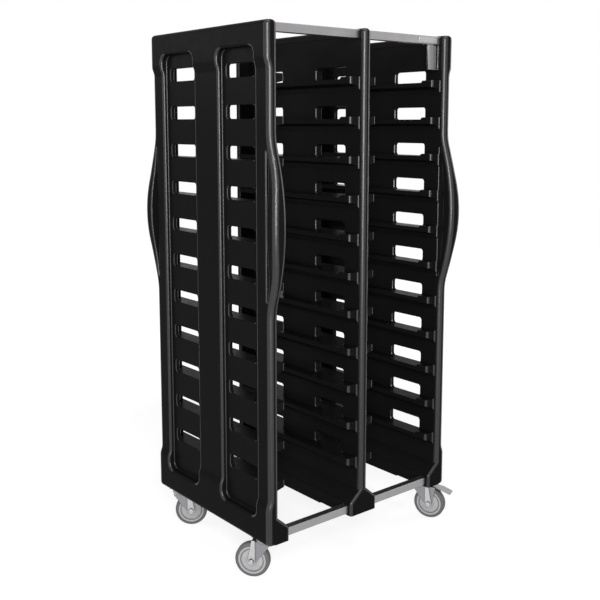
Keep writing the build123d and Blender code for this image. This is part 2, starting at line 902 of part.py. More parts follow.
def brake_shoe():
    """The block under the pedal that comes down to the tread when the pedal is pressed."""
    start_out, start_height = lever_start()
    slope = (pedal_knee_height - start_height) / (pedal_knee_out - start_out)
    drop = math.hypot(1, slope) * pedal_sheet / 2
    near_height = start_height + slope * (shoe_near - start_out) - drop
    far_height = start_height + slope * (shoe_far - start_out) - drop
    side = make_face(
        Polyline(
            (shoe_near, near_height),
            (shoe_far, far_height),
            (shoe_far, axle_z),
            (shoe_near, axle_z),
            close=True,
        )
    )
    block = extrude(Plane.XZ * side, amount=shoe_width / 2, both=True)
    wheel = along_axle(Cylinder(wheel_diameter / 2 + shoe_clearance, fork_inside))
    to_pivot = Pos(brake_pivot_out, 0, brake_pivot_height)
    return block - to_pivot * Rot(0, -pedal_travel, 0) * to_pivot.inverse() * wheel


def castor_pieces(name):
    """Every piece of one castor at its place, by node name."""
    side = -1 if name.endswith("left") else 1
    end = -1 if name.startswith("front") else 1
    stand = Pos(side * castor_x, end * castor_y, 0)
    turned = stand * Rot(0, 0, castor_turn[name])
    braked = name in braked_castors
    fixed = {
        "mounting_plate": [mounting_plate()],
        "swivel_race": [swivel_race()],
        "king_pin": [king_pin()],
    }
    turning = {
        "swivel_balls": swivel_balls(),
        "fork": [fork(braked)],
        "axle_bolt": axle_bolt(),
        "axle_bush": [axle_bush()],
        "wheel_hub": [wheel_hub()],
        "wheel_tread": [wheel_tread()],
    }
    if braked:
        turning["brake_pin"] = [brake_pivot_pin()]
        turning["brake_pedal"] = [brake_pedal()]
        turning["brake_shoe"] = [brake_shoe()]
    pieces = {}
    for place, group in ((stand, fixed), (turned, turning)):
        for piece, shapes in group.items():
            pieces[f"{name}_{piece}"] = [place * shape for shape in shapes]
    return pieces


def all_castor_bolts():
    """The bolts of all four castor plates."""
    return [
        Pos(side * castor_x, end * castor_y, 0) * bolt
        for side in (-1, 1)
        for end in (-1, 1)
        for bolt in castor_bolts()
    ]


def all_nodes():
    """Every node's solids, by name."""
    right = Pos(rim_plane, 0, seat_z) * side_panel()
    nodes = {
        "right_side_panel": [right],
        "left_side_panel": [mirror(right, about=Plane.YZ)],
        "centre_panel": [Pos(0, 0, seat_z) * centre_panel()],
        "rail_screws": rail_screws(),
        "label_plate": [label_plate()],
        "card_holder": [card_holder()],
        "castor_bolts": all_castor_bolts(),
    }
    for name, (y, z) in rail_places().items():
        nodes[name] = [rail(y, z)]
    for name in castor_turn:
        nodes.update(castor_pieces(name))
    return nodes


os.makedirs("parts", exist_ok=True)
for node, shapes in all_nodes().items():
    solids = [solid for shape in shapes for solid in shape.solids()]
    export_step(Compound(children=solids) if len(solids) > 1 else solids[0], f"parts/{node}.step")
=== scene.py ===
"""Tray trolley for the 3D view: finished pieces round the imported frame, and a pale studio."""

import json
import math

import bmesh
import bpy
from bpy.props import FloatProperty, FloatVectorProperty, IntProperty, PointerProperty
from mathutils import Matrix, Vector


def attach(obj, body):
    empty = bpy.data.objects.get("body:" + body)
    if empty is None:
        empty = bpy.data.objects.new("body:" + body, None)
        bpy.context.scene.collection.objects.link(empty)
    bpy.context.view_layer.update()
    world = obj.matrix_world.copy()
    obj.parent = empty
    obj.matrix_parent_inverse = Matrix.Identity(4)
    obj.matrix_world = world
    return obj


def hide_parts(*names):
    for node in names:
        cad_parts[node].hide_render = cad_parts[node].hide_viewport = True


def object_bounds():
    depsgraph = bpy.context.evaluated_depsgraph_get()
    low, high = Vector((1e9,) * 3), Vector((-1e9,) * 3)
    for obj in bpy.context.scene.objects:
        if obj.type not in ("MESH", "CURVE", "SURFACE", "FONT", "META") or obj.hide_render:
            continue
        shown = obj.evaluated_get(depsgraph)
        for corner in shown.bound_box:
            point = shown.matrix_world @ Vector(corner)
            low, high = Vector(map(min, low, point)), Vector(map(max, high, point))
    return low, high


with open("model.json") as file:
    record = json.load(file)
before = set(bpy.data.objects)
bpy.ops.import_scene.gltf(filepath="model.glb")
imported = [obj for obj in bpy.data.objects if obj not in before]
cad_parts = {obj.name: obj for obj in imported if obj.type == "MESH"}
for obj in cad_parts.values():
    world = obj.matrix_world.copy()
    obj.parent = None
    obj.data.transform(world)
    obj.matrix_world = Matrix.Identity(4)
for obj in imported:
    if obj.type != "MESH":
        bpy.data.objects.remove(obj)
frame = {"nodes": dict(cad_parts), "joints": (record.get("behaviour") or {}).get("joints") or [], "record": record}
cad_box = [list(corner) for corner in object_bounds()]

bl_info = {
    "name": "Tray Trolley",
    "version": (1, 0, 0),
    "blender": (4, 5, 0),
    "location": "3D View > Sidebar > Trolley",
    "description": "Finished pieces and studio of a tray trolley with two bays",
    "category": "Object",
}

PANELS = ("left_side_panel", "right_side_panel", "centre_panel")
RAILS = ("top_front_rail", "top_rear_rail", "bottom_front_rail", "bottom_rear_rail")
ROLLS = {joint["child"]: joint for joint in frame["joints"] if joint["name"].endswith("_wheel_roll")}
SWIVELS = {joint["child"]: joint for joint in frame["joints"] if joint["name"].endswith("_swivel_turn")}
CASTORS = [body.removesuffix("_wheel") for body in ROLLS]
BRAKED = [castor for castor in CASTORS if f"{castor}_brake_pedal" in frame["nodes"]]
BODY_OF = {node: body for body, nodes in frame["record"]["behaviour"]["bodies"].items() for node in nodes}

# How close two corners count as one, how short an edge may be, and how level two corners count as one face
JOIN_DISTANCE = 1e-6
LEAST_EDGE = 1e-7
SAME_LEVEL = 1e-5

# Bends: those that still count as flat, and those that stay sharp on dressed nodes, wheel cores and bands
FLAT_ANGLE = math.radians(0.5)
SHARP_ANGLE = math.radians(28)
CORE_SHARP_ANGLE = math.radians(50)
BAND_SHARP_ANGLE = math.radians(40)

# Steps across a rounded edge, sides of a fork band's eye, and how far round it the leg's face is looked for
NODE_EDGE_STEPS = 2
EDGE_STEPS = 3
BAND_SIDES = 48
EYE_REACH = 1.5

# Rays that the shaders send to find edges and open faces
EDGE_RAYS = 4
OPEN_RAYS = 8


def colour_property(name, description, default):
    """A colour that a user may change."""
    return FloatVectorProperty(
        name=name, description=description, default=default, subtype="COLOR", min=0.0, max=1.0
    )


def factor_property(name, description, default):
    """A share from 0 to 1."""
    return FloatProperty(
        name=name, description=description, default=default, subtype="FACTOR", min=0.0, max=1.0
    )


def length_property(name, description, default):
    """A length in metres."""
    return FloatProperty(name=name, description=description, default=default, unit="LENGTH", precision=5)


def power_property(name, description, default):
    """A lamp's power in watts."""
    return FloatProperty(name=name, description=description, default=default, unit="POWER")


class TrolleyPlastic(bpy.types.PropertyGroup):
    """Moulded black plastic of the panels."""

    colour: colour_property("Colour", "Colour of the moulded panels", (0.0088, 0.0080, 0.0087))
    scuff_colour: colour_property("Scuffs", "Colour of rubbed edges", (0.016, 0.015, 0.016))
    scuff_width: length_property("Scuff width", "How far a rubbed edge reaches", 0.0025)
    gloss: factor_property("Gloss", "Strength of the flat faces' reflections", 0.012)
    handled_gloss: factor_property("Handled gloss", "Strength of the reflections on roundings", 0.5)
    roughness: factor_property("Roughness", "Roughness of the satin surface", 0.30)
    grain_size: length_property("Grain size", "Size of the moulded grain", 0.0009)
    grain_depth: length_property("Grain depth", "Depth of the moulded grain", 0.00002)
    ripple_size: length_property("Ripple size", "Length of the slow ripples that cooling leaves", 0.11)
    ripple_depth: length_property("Ripple depth", "Depth of those ripples", 0.0004)
    handling_size: length_property("Handling", "Size of the patches that handling leaves", 0.035)


class TrolleyMetal(bpy.types.PropertyGroup):
    """Rails, sheet metal and castor steel."""

    rail_colour: colour_property("Rail", "Colour of the drawn rails", (0.36, 0.35, 0.36))
    label_colour: colour_property("Label", "Colour of the bare label plate", (0.50, 0.49, 0.50))
    sheet_colour: colour_property("Sheet", "Colour of the folded card holder", (0.30, 0.29, 0.30))
    zinc_colour: colour_property("Zinc", "Colour of plated steel", (0.32, 0.32, 0.33))
    # Painted shade: the forks take a darker copy of the zinc.
    shaded_zinc_colour: colour_property("Forks", "Colour of the forks' dull zinc", (0.26, 0.26, 0.27))
    # Painted light: the forks' bands and the axle bolts take a lighter copy of the zinc.
    lit_zinc_colour: colour_property("Bands", "Colour of zinc that is rubbed bright", (0.56, 0.56, 0.57))
    ball_colour: colour_property("Balls", "Colour of hardened steel", (0.45, 0.45, 0.46))
    streak_size: length_property("Streak size", "Width of the drawing streaks", 0.0007)
    streak_depth: length_property("Streak depth", "Depth of the drawing streaks", 0.00001)
    tarnish_size: length_property("Tarnish", "Size of the tarnished patches", 0.06)
    spangle_size: length_property("Spangle", "Size of the zinc's spangle", 0.004)
    spangle_depth: length_property("Spangle depth", "Depth of that spangle", 0.00003)
    cloud_size: length_property("Clouds", "Size of the zinc's duller patches", 0.022)
    # How far the shade painted into the castor steel's corners reaches.
    corner_shade_reach: length_property("Grime", "Width of the corners that hold grime", 0.012)
    film_size: length_property("Film", "Size of the patches in a film of grease", 0.003)
    edge_round: length_property("Edge", "Rounding of cut sheet edges", 0.0006)
    band_proud: length_property("Band", "How far the band down a fork's leg stands out", 0.0032)
    band_eye: length_property("Band eye", "Radius of that band round the axle", 0.0132)
    band_head: length_property("Band head", "Width of that band at the fork's crown", 0.0120)
    band_round: length_property("Band edge", "Rounding of that band's edges", 0.0012)
    nut_room: length_property("Nut room", "Radius left open round the axle's nut", 0.0100)


class TrolleyWheels(bpy.types.PropertyGroup):
    """Castor wheels and brake shoes."""

    core_colour: colour_property("Core", "Colour of the wheel's plastic core", (0.49, 0.48, 0.49))
    tread_colour: colour_property("Tread", "Colour of the wheel's tread", (0.14, 0.135, 0.14))
    shoe_colour: colour_property("Shoe", "Colour of the brake shoe", (0.012, 0.012, 0.012))
    rim_width: length_property("Rim", "Width of the flat ring beside the tread", 0.0075)
    groove_width: length_property("Groove", "Width of the groove inside that ring", 0.0040)
    groove_depth: length_property("Groove depth", "Depth of that groove", 0.0035)
    disc_sink: length_property("Disc", "How far the disc lies below the ring", 0.0024)
    boss_radius: length_property("Boss", "Radius of the boss at the axle", 0.0180)
    edge_round: length_property("Edge", "Rounding of the core's edges", 0.0006)
    dirt_size: length_property("Dirt", "Size of the core's dirty patches", 0.012)
    # How far the shade painted into the wheel core's groove and corners reaches.
    groove_shade_reach: length_property("Dirt reach", "Width of the corners that hold dirt", 0.008)
    core_grain: length_property("Core grain", "Size of the core's moulded grain", 0.0006)
    core_grain_depth: length_property("Core grain depth", "Depth of that grain", 0.00002)
    scuff_size: length_property("Scuffs", "Size of the tread's scuffs", 0.006)
    scuff_depth: length_property("Scuff depth", "Depth of those scuffs", 0.00010)
    tread_grain: length_property("Tread grain", "Size of the tread's grain", 0.0008)
    tread_grain_depth: length_property("Tread grain depth", "Depth of that grain", 0.00004)
    dust_size: length_property("Dust", "Size of the shoe's dusty patches", 0.005)
    dust_depth: length_property("Dust depth", "Depth of the shoe's worn surface", 0.00008)
    steps: IntProperty(name="Steps", description="Sides of a round piece", default=96, min=24, max=256)


class TrolleyStudio(bpy.types.PropertyGroup):
    """Floor, light and camera."""

    camera_place: FloatVectorProperty(
        name="Camera",
        description="Where the camera stands",
        default=(-2.1875, -2.6405, 1.5797),
        subtype="XYZ",
    )
    camera_turn: FloatProperty(
        name="Turn", description="Camera's turn from the front", default=math.radians(39.52), subtype="ANGLE"
    )
    camera_dip: FloatProperty(
        name="Dip", description="How far the camera looks down", default=math.radians(7.75), subtype="ANGLE"
    )
    lens: FloatProperty(name="Lens", description="Focal length in millimetres", default=53.5)
    lens_shift: FloatProperty(name="Shift", description="Share of the frame", default=-0.0897)
    floor_size: length_property("Floor", "Side of the floor", 16.0)
    floor_colour: colour_property("Floor colour", "Colour that takes the shadow", (0.34, 0.34, 0.34))
    floor_glow: factor_property("Floor glow", "Share of the floor's white that holds no shadow", 0.82)
    shadow_reach: length_property("Shadow reach", "How far from the trolley the floor takes a shadow", 1.6)
    sky: factor_property("Sky", "Light from all round", 0.20)
    left_power: power_property("Left", "Soft box at the front left", 165.0)
    right_power: power_property("Right", "Soft box at the right", 20.0)
    back_power: power_property("Back", "Soft box at the back left", 16.0)
    top_power: power_property("Top", "Lamp overhead", 18.0)


def start_finish(name, metallic, gloss):
    """A node material with its constant sockets set, and its shader."""
    material = bpy.data.materials.new(name)
    material.use_nodes = True
    shader = material.node_tree.nodes["Principled BSDF"]
    shader.inputs["Metallic"].default_value = metallic
    shader.inputs["Specular IOR Level"].default_value = gloss
    return material, shader


def noise(material, size, detail=2.0, stretch=(1.0, 1.0, 1.0)):
    """Noise of one feature size in metres, on Object coordinates, longer along the stretched axes."""
    tree = material.node_tree
    place = tree.nodes.new("ShaderNodeTexCoord")
    mapping = tree.nodes.new("ShaderNodeMapping")
    mapping.inputs["Scale"].default_value = [1 / (size * along) for along in stretch]
    texture = tree.nodes.new("ShaderNodeTexNoise")
    texture.inputs["Scale"].default_value = 1.0
    texture.inputs["Detail"].default_value = detail
    tree.links.new(place.outputs["Object"], mapping.inputs["Vector"])
    tree.links.new(mapping.outputs["Vector"], texture.inputs["Vector"])
    return texture.outputs["Fac"]


def spread(material, value, low, high, start=0.3, end=0.7):
    """A value between start and end, spread from low to high."""
    node = material.node_tree.nodes.new("ShaderNodeMapRange")
    node.inputs["From Min"].default_value = start
    node.inputs["From Max"].default_value = end
    node.inputs["To Min"].default_value = low
    node.inputs["To Max"].default_value = high
    material.node_tree.links.new(value, node.inputs["Value"])
    return node.outputs["Result"]


def product(material, first, second):
    """Two values multiplied."""
    node = material.node_tree.nodes.new("ShaderNodeMath")
    node.operation = "MULTIPLY"
    material.node_tree.links.new(first, node.inputs[0])
    material.node_tree.links.new(second, node.inputs[1])
    return node.outputs["Value"]


def tint(material, shader, value, first, second):
    """Colours the shader from first to second as the value goes from 0 to 1."""
    ramp = material.node_tree.nodes.new("ShaderNodeValToRGB")
    ramp.color_ramp.elements[0].color = (*first, 1.0)
    ramp.color_ramp.elements[1].color = (*second, 1.0)
    material.node_tree.links.new(value, ramp.inputs["Fac"])
    material.node_tree.links.new(ramp.outputs["Color"], shader.inputs["Base Color"])


def bump(material, shader, *layers):
    """Heights given as (value, depth in metres), one over the other."""
    under = None
    for value, depth in layers:
        node = material.node_tree.nodes.new("ShaderNodeBump")
        node.inputs["Distance"].default_value = depth
        material.node_tree.links.new(value, node.inputs["Height"])
        if under:
            material.node_tree.links.new(under, node.inputs["Normal"])
        under = node.outputs["Normal"]
    material.node_tree.links.new(under, shader.inputs["Normal"])


def roughen(material, shader, value, low, high):
    """Roughness that varies with a value."""
    material.node_tree.links.new(spread(material, value, low, high), shader.inputs["Roughness"])


def edge_mask(material, width):
    """1 along tight outer and inner edges, 0 on faces and broad roundings."""
    tree = material.node_tree
    rounded = tree.nodes.new("ShaderNodeBevel")
    rounded.samples = EDGE_RAYS
    rounded.inputs["Radius"].default_value = width
    flat = tree.nodes.new("ShaderNodeNewGeometry")
    match = tree.nodes.new("ShaderNodeVectorMath")
    match.operation = "DOT_PRODUCT"
    tree.links.new(rounded.outputs["Normal"], match.inputs[0])
    tree.links.new(flat.outputs["Normal"], match.inputs[1])
    return spread(material, match.outputs["Value"], low=1.0, high=0.0, start=0.75, end=0.97)


def open_mask(material, reach):
    """1 on open faces, falling to 0 in grooves and inner corners narrower than a reach; colours darken by it as
    painted shade.
    """
    shade = material.node_tree.nodes.new("ShaderNodeAmbientOcclusion")
    shade.samples = OPEN_RAYS
    shade.inputs["Distance"].default_value = reach
    return spread(material, shade.outputs["AO"], low=0.0, high=1.0, start=0.35, end=0.95)


def rounding_mask(material):
    """1 on upright roundings, where the surface turns from facing X to facing Y, and 0 on flats."""
    tree = material.node_tree
    surface = tree.nodes.new("ShaderNodeNewGeometry")
    size = tree.nodes.new("ShaderNodeVectorMath")
    size.operation = "ABSOLUTE"
    parts = tree.nodes.new("ShaderNodeSeparateXYZ")
    tree.links.new(surface.outputs["Normal"], size.inputs[0])
    tree.links.new(size.outputs["Vector"], parts.inputs["Vector"])
    turned = product(material, parts.outputs["X"], parts.outputs["Y"])
    return spread(material, turned, low=0.0, high=1.0, start=0.02, end=0.20)


def lighter(colour, share):
    """A colour moved a share of the way to white."""
    return [channel + (1 - channel) * share for channel in colour]


def darker(colour, share):
    """A colour moved a share of the way to black."""
    return [channel * (1 - share) for channel in colour]


def panel_plastic(plastic):
    """Black satin plastic with a moulded grain, slow ripples and lightly rubbed edges."""
    material, shader = start_finish("panel_plastic", metallic=0.0, gloss=plastic.handled_gloss)
    rounding = rounding_mask(material)
    shine = spread(material, rounding, plastic.gloss, plastic.handled_gloss, start=0.0, end=1.0)
    material.node_tree.links.new(shine, shader.inputs["Specular IOR Level"])
    grain = noise(material, plastic.grain_size, detail=3.0)
    ripple = noise(material, plastic.ripple_size, detail=1.0)
    handling = noise(material, plastic.handling_size, detail=4.0)
    handled = spread(material, handling, low=0.0, high=1.0)
    rub = product(material, edge_mask(material, plastic.scuff_width), handled)
    tint(material, shader, rub, plastic.colour, plastic.scuff_colour)
    roughen(material, shader, handling, low=plastic.roughness - 0.04, high=plastic.roughness + 0.07)
    bump(material, shader, (ripple, plastic.ripple_depth), (grain, plastic.grain_depth))
    return material


def drawn_metal(name, colour, metal, stretch, roughness):
    """Metal with fine streaks along its drawing direction."""
    material, shader = start_finish(name, metallic=1.0, gloss=0.5)
    streaks = noise(material, metal.streak_size, detail=3.0, stretch=stretch)
    tarnish = noise(material, metal.tarnish_size, detail=3.0)
    bright = product(material, streaks, tarnish)
    tint(material, shader, bright, darker(colour, share=0.22), lighter(colour, share=0.10))
    roughen(material, shader, streaks, low=roughness - 0.06, high=roughness + 0.08)
    bump(material, shader, (streaks, metal.streak_depth))
    return material


def rail_metal(metal):
    """Satin drawn aluminium, streaked along the rails."""
    return drawn_metal("rail_aluminium", metal.rail_colour, metal, stretch=(160.0, 1.0, 1.0), roughness=0.34)


def label_metal(metal):
    """Bright bare aluminium, streaked along the plate."""
    return drawn_metal("label_aluminium", metal.label_colour, metal, stretch=(60.0, 1.0, 1.0), roughness=0.26)


def card_metal(metal):
    """Folded sheet, streaked upright."""
    return drawn_metal("card_sheet", metal.sheet_colour, metal, stretch=(1.0, 1.0, 60.0), roughness=0.30)


def castor_steel(name, colour, metal):
    """Zinc with a faint spangle, and shade painted into its corners by an occlusion mask."""
    material, shader = start_finish(name, metallic=1.0, gloss=0.5)
    spangle = noise(material, metal.spangle_size, detail=4.0)
    cloud = noise(material, metal.cloud_size, detail=3.0)
    spotted = spread(material, spangle, low=0.75, high=1.0)
    # Painted shade: the occlusion mask darkens the zinc in its corners and recesses; the spangle adds a random
    # tone.
    shade_and_spots = product(material, open_mask(material, metal.corner_shade_reach), spotted)
    tint(material, shader, shade_and_spots, darker(colour, share=0.60), lighter(colour, share=0.06))
    roughen(material, shader, cloud, low=0.20, high=0.36)
    bump(material, shader, (spangle, metal.spangle_depth))
    return material


def plated_steel(metal):
    """Zinc on the castors' plates, races and pedals and on the screws, made once."""
    made = bpy.data.materials.get("plated_steel")
    return made or castor_steel("plated_steel", metal.zinc_colour, metal)


def shaded_zinc_steel(metal):
    """Zinc on the forks, made darker as painted shade."""
    return castor_steel("shaded_zinc_steel", metal.shaded_zinc_colour, metal)


def lit_zinc_steel(metal):
    """Zinc made lighter as a painted highlight on the forks' bands and the axles."""
    return castor_steel("lit_zinc_steel", metal.lit_zinc_colour, metal)


def ball_metal(metal):
    """Hardened steel with a thin film of grease."""
    material, shader = start_finish("ball_steel", metallic=1.0, gloss=0.5)
    film = noise(material, metal.film_size)
    tint(material, shader, film, darker(metal.ball_colour, share=0.30), metal.ball_colour)
    roughen(material, shader, film, low=0.10, high=0.24)
    return material


def wheel_plastic(wheels):
    """Light grey moulded core with a fine grain, a little floor dirt, and shade painted into its groove and round
    its boss.
    """
    colour = wheels.core_colour
    material, shader = start_finish("wheel_plastic", metallic=0.0, gloss=0.30)
    dirt = noise(material, wheels.dirt_size, detail=5.0)
    grain = noise(material, wheels.core_grain)
    spotted = spread(material, dirt, low=0.8, high=1.0)
    # Painted shade: the occlusion mask darkens the core in its groove and round its boss; the noise adds dirt
    # patches.
    shade_and_spots = product(material, open_mask(material, wheels.groove_shade_reach), spotted)
    tint(material, shader, shade_and_spots, darker(colour, share=0.65), lighter(colour, share=0.04))
    roughen(material, shader, dirt, low=0.36, high=0.52)
    bump(material, shader, (grain, wheels.core_grain_depth))
    return material


def tread_rubber(wheels):
    """Grey rubber, matt, with pale scuffs from rolling."""
    colour = wheels.tread_colour
    material, shader = start_finish("tread_rubber", metallic=0.0, gloss=0.25)
    scuffs = noise(material, wheels.scuff_size, detail=6.0)
    grain = noise(material, wheels.tread_grain, detail=3.0)
    tint(material, shader, scuffs, darker(colour, share=0.22), lighter(colour, share=0.06))
    roughen(material, shader, scuffs, low=0.55, high=0.75)
    bump(material, shader, (scuffs, wheels.scuff_depth), (grain, wheels.tread_grain_depth))
    return material


def shoe_rubber(wheels):
    """Black brake rubber, dull and dusty."""
    material, shader = start_finish("shoe_rubber", metallic=0.0, gloss=0.20)
    dust = noise(material, wheels.dust_size, detail=5.0)
    tint(material, shader, dust, wheels.shoe_colour, lighter(wheels.shoe_colour, share=0.04))
    roughen(material, shader, dust, low=0.65, high=0.85)
    bump(material, shader, (dust, wheels.dust_depth))
    return material


def new_piece(name, mesh_maker, finish):
    """An object at the origin with a bmesh made into its mesh, in one finish."""
    mesh = bpy.data.meshes.new(name)
    mesh_maker.to_mesh(mesh)
    mesh_maker.free()
    mesh.materials.append(finish)
    piece = bpy.data.objects.new(name, mesh)
    bpy.context.scene.collection.objects.link(piece)
    return piece


def smooth_by_angle(mesh_maker, sharp_angle):
    """Smooth faces, with the edges that bend more than an angle kept sharp."""
    for face in mesh_maker.faces:
        face.smooth = True
    for edge in mesh_maker.edges:
        edge.smooth = edge.is_manifold and edge.calc_face_angle() < sharp_angle


def joined_copy(node):
    """A copy of a CAD node's mesh with its loose triangles joined."""
    mesh_maker = bmesh.new()
    mesh_maker.from_mesh(frame["nodes"][node].data)
    bmesh.ops.remove_doubles(mesh_maker, verts=mesh_maker.verts, dist=JOIN_DISTANCE)
    bmesh.ops.dissolve_degenerate(mesh_maker, edges=mesh_maker.edges, dist=LEAST_EDGE)
    return mesh_maker


def settle(piece, node):
    """Puts a piece on the CAD body that it belongs to, in place of its node."""
    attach(piece, BODY_OF[node])
    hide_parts(node)


def dress(node, finish, edge_round=0.0):
    """A smooth copy of a CAD node in its finish, with its cut edges rounded."""
    mesh_maker = joined_copy(node)
    if edge_round:
        bmesh.ops.dissolve_limit(
            mesh_maker, angle_limit=FLAT_ANGLE, verts=mesh_maker.verts, edges=mesh_maker.edges
        )
    smooth_by_angle(mesh_maker, SHARP_ANGLE)
    piece = new_piece(f"{node}_finished", mesh_maker, finish)
    if edge_round:
        rounding = piece.modifiers.new("Edges", "BEVEL")
        rounding.width = edge_round
        rounding.segments = NODE_EDGE_STEPS
        rounding.limit_method = "ANGLE"
        rounding.angle_limit = SHARP_ANGLE
        rounding.use_clamp_overlap = True
    shading = piece.modifiers.new("Shading", "WEIGHTED_NORMAL")
    shading.keep_sharp = True
    settle(piece, node)


def axle_place(roll):
    """The matrix that takes a shape made round Z at the origin to a wheel's axle."""
    turn = Vector((0, 0, 1)).rotation_difference(Vector(roll["axis"]))
    return Matrix.Translation(roll["pos_m"]) @ turn.to_matrix().to_4x4()


def round_size(node, roll):
    """Inner radius, outer radius and half width of a node about its wheel's axle."""
    to_axle = axle_place(roll).inverted()
    corners = [to_axle @ vertex.co for vertex in frame["nodes"][node].data.vertices]
    radii = [corner.xy.length for corner in corners]
    return min(radii), max(radii), max(abs(corner.z) for corner in corners)


def spun_piece(section, steps):
    """A closed section of (radius, height) corners turned once round Z."""
    mesh_maker = bmesh.new()
    corners = [mesh_maker.verts.new((radius, 0.0, height)) for radius, height in section]
    edges = [
        mesh_maker.edges.new((corner, corners[(index + 1) % len(corners)]))
        for index, corner in enumerate(corners)
    ]
    bmesh.ops.spin(
        mesh_maker,
        geom=corners + edges,
        cent=(0, 0, 0),
        axis=(0, 0, 1),
        angle=math.tau,
        steps=steps,
        use_merge=True,
    )
    bmesh.ops.remove_doubles(mesh_maker, verts=mesh_maker.verts, dist=LEAST_EDGE)
    bmesh.ops.recalc_face_normals(mesh_maker, faces=mesh_maker.faces)
    return mesh_maker


def round_edges(mesh_maker, width):
    """Rounds every edge that bends more than the sharp angle."""
    sharp = [edge for edge in mesh_maker.edges if edge.calc_face_angle() > SHARP_ANGLE]
    bmesh.ops.bevel(
        mesh_maker,
        geom=sharp,
        offset=width,
        offset_type="OFFSET",
        affect="EDGES",
        segments=EDGE_STEPS,
        profile=0.5,
        material=-1,
        clamp_overlap=True,
    )


def mirrored_section(half):
    """A closed section from its upper half, which runs outwards from the bore."""
    return half + [(radius, -height) for radius, height in reversed(half)]


def wheel_core(castor, wheels, finish):
    """A moulded wheel core: boss, flat disc, groove and the ring that carries the tread."""
    node = f"{castor}_wheel_hub"
    roll = ROLLS[f"{castor}_wheel"]
    bore, rim, boss_half = round_size(node, roll)
    tread_half = round_size(f"{castor}_wheel_tread", roll)[2]
    ring_half = tread_half - wheels.edge_round
    ring = rim - wheels.rim_width
    disc_half = ring_half - wheels.disc_sink
    groove_half = disc_half - wheels.groove_depth
    half = [
        (bore, boss_half),
        (wheels.boss_radius, boss_half),
        (wheels.boss_radius, disc_half),
        (ring - wheels.groove_width, disc_half),
        (ring - wheels.groove_width, groove_half),
        (ring, groove_half),
        (ring, ring_half),
        (rim, ring_half),
    ]
    mesh_maker = spun_piece(mirrored_section(half), wheels.steps)
    round_edges(mesh_maker, wheels.edge_round)
    bmesh.ops.transform(mesh_maker, matrix=axle_place(roll), verts=mesh_maker.verts)
    smooth_by_angle(mesh_maker, CORE_SHARP_ANGLE)
    piece = new_piece(f"{node}_core", mesh_maker, finish)
    settle(piece, node)


def leg_place(castor):
    """The matrix that takes X to a castor's trail, Y to up and Z to its axle, from the axle's middle."""
    axle = Vector(ROLLS[f"{castor}_wheel"]["pos_m"])
    trail = axle - Vector(SWIVELS[f"{castor}_swivel"]["pos_m"])
    trail.z = 0.0
    trail.normalize()
    up = Vector((0.0, 0.0, 1.0))
    place = Matrix((trail, up, trail.cross(up))).transposed().to_4x4()
    place.translation = axle
    return place


def leg_face(castor, reach):
    """How far a fork leg's outer face lies from the wheel's middle, and how high it goes above the axle."""
    to_leg = leg_place(castor).inverted()
    corners = [to_leg @ vertex.co for vertex in frame["nodes"][f"{castor}_fork"].data.vertices]
    out = max(abs(corner.z) for corner in corners if corner.xy.length < reach)
    high = max(corner.y for corner in corners if abs(abs(corner.z) - out) < SAME_LEVEL)
    return out, high


def fork_bands(castor, metal, finish):
    """Pressed bands down both legs of a fork, open round the axle's nut and bolt head."""
    out, high = leg_face(castor, EYE_REACH * metal.band_eye)
    mesh_maker = bmesh.new()
    rings = [
        bmesh.ops.create_circle(mesh_maker, cap_ends=False, radius=radius, segments=BAND_SIDES)["verts"]
        for radius in (metal.nut_room, metal.band_eye)
    ]
    bmesh.ops.bridge_loops(mesh_maker, edges=mesh_maker.edges[:])
    for corner in rings[1]:
        if corner.co.y > JOIN_DISTANCE:
            corner.co.x = (corner.co.x / metal.band_eye + 1) * metal.band_head / 2 - metal.band_eye
            corner.co.y = high
    bmesh.ops.solidify(mesh_maker, geom=mesh_maker.faces[:], thickness=metal.band_proud)
    low = min(corner.co.z for corner in mesh_maker.verts)
    bmesh.ops.translate(mesh_maker, verts=mesh_maker.verts, vec=(0.0, 0.0, out - low))
    whole = mesh_maker.verts[:] + mesh_maker.edges[:] + mesh_maker.faces[:]
    bmesh.ops.mirror(mesh_maker, geom=whole, axis="Z", merge_dist=0.0)
    bmesh.ops.recalc_face_normals(mesh_maker, faces=mesh_maker.faces)
    round_edges(mesh_maker, metal.band_round)
    bmesh.ops.transform(mesh_maker, matrix=leg_place(castor), verts=mesh_maker.verts)
    bmesh.ops.recalc_face_normals(mesh_maker, faces=mesh_maker.faces)
    smooth_by_angle(mesh_maker, BAND_SHARP_ANGLE)
    piece = new_piece(f"{castor}_fork_bands", mesh_maker, finish)
    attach(piece, f"{castor}_swivel")


class TROLLEY_OT_panels(bpy.types.Operator):
    """Dress the two side panels and the centre panel"""

    bl_idname = "trolley.panels"
    bl_label = "Moulded panels"

    def execute(self, context):
        finish = panel_plastic(context.scene.trolley_plastic)
        for node in PANELS:
            dress(node, finish)
        return {"FINISHED"}


class TROLLEY_OT_rails(bpy.types.Operator):
    """Dress the four rails and the screws that hold them"""

    bl_idname = "trolley.rails"
    bl_label = "Rails"

    def execute(self, context):
        metal = context.scene.trolley_metal
        finish = rail_metal(metal)
        for node in RAILS:
            dress(node, finish)
        dress("rail_screws", plated_steel(metal))
        return {"FINISHED"}


class TROLLEY_OT_front_plates(bpy.types.Operator):
    """Dress the bare label plate and the card holder at the top of the right bay"""

    bl_idname = "trolley.front_plates"
    bl_label = "Label plate and card holder"

    def execute(self, context):
        metal = context.scene.trolley_metal
        dress("label_plate", label_metal(metal), metal.edge_round / 2)
        dress("card_holder", card_metal(metal), metal.edge_round / 2)
        return {"FINISHED"}


